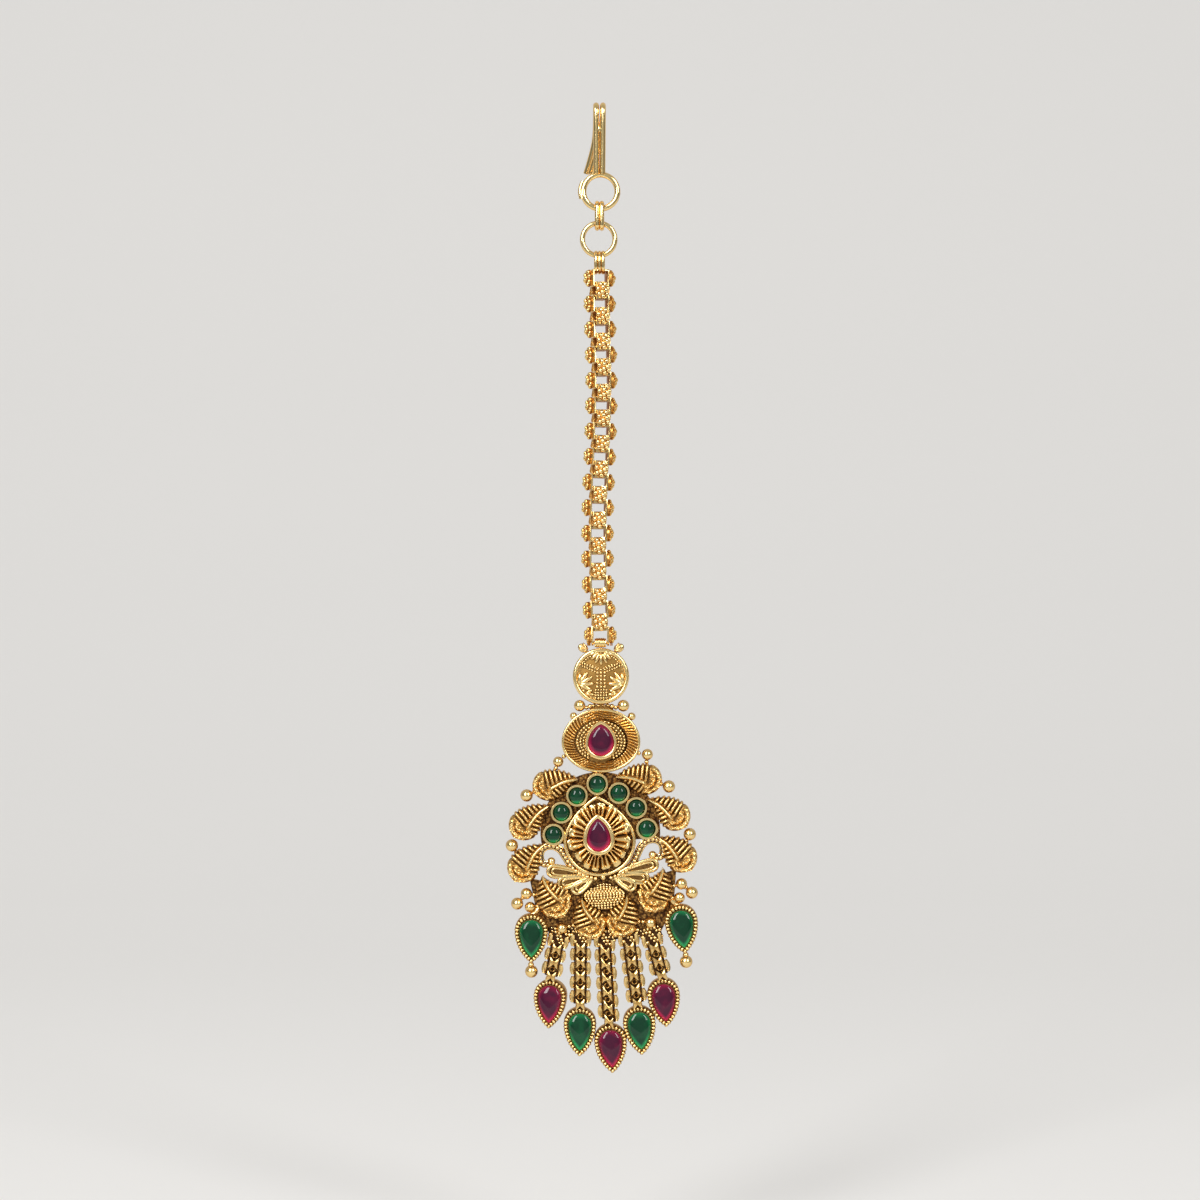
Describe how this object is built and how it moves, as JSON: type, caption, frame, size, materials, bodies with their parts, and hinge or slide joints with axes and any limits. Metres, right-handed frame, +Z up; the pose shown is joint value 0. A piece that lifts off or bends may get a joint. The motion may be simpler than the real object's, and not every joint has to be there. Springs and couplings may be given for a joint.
{
  "type": "maang tikka",
  "caption": "Gold maang tikka: a hair hook and flower-capped box chain carry a hinged pendant of leaf plaques, pear and round stones, and a fringe of chains with pear drops.",
  "frame": {"origin": "inside the bend at the top of the hook, where the hair holds it", "axes": "+Z up along the hanging chain, -Y out of the jewel's face, +X to the viewer's right"},
  "size_m": [0.0299, 0.0063, 0.1504],
  "materials": {
    "polished_gold": "polished yellow gold plate",
    "antique_gold": "antique gold, dark in the recesses",
    "emerald_glass": "deep green foiled glass",
    "ruby_glass": "deep red foiled glass"
  },
  "bodies": {
    "hanger": {"hook": "polished_gold", "connector_link": "polished_gold", "middle_ring": "polished_gold", "strap_link": "polished_gold", "main_chain": "polished_gold", "swivel_link": "polished_gold"},
    "pendant": {"disc_plaque": "antique_gold", "oval_plaque": "antique_gold", "main_plaque": "antique_gold", "upper_joining_ring": "antique_gold", "lower_joining_ring": "antique_gold", "upper_ruby": "ruby_glass", "centre_ruby": "ruby_glass", "round_emerald_1": "emerald_glass", "round_emerald_2": "emerald_glass", "round_emerald_3": "emerald_glass", "round_emerald_4": "emerald_glass", "round_emerald_5": "emerald_glass", "round_emerald_6": "emerald_glass", "round_emerald_7": "emerald_glass", "side_emerald_left": "emerald_glass", "side_emerald_right": "emerald_glass", "fringe_chain_1": "antique_gold", "drop_setting_1": "antique_gold", "drop_stone_1": "ruby_glass", "fringe_chain_2": "antique_gold", "drop_setting_2": "antique_gold", "drop_stone_2": "emerald_glass", "fringe_chain_3": "antique_gold", "drop_setting_3": "antique_gold", "drop_stone_3": "ruby_glass", "fringe_chain_4": "antique_gold", "drop_setting_4": "antique_gold", "drop_stone_4": "emerald_glass", "fringe_chain_5": "antique_gold", "drop_setting_5": "antique_gold", "drop_stone_5": "ruby_glass"}
  },
  "joints": [
    {"name": "pendant_swing", "type": "hinge", "parent": "hanger", "child": "pendant", "pos_m": [0.00013, 0, -0.08204], "axis": [1, 0, 0], "range_deg": [-45, 45]}
  ]
}
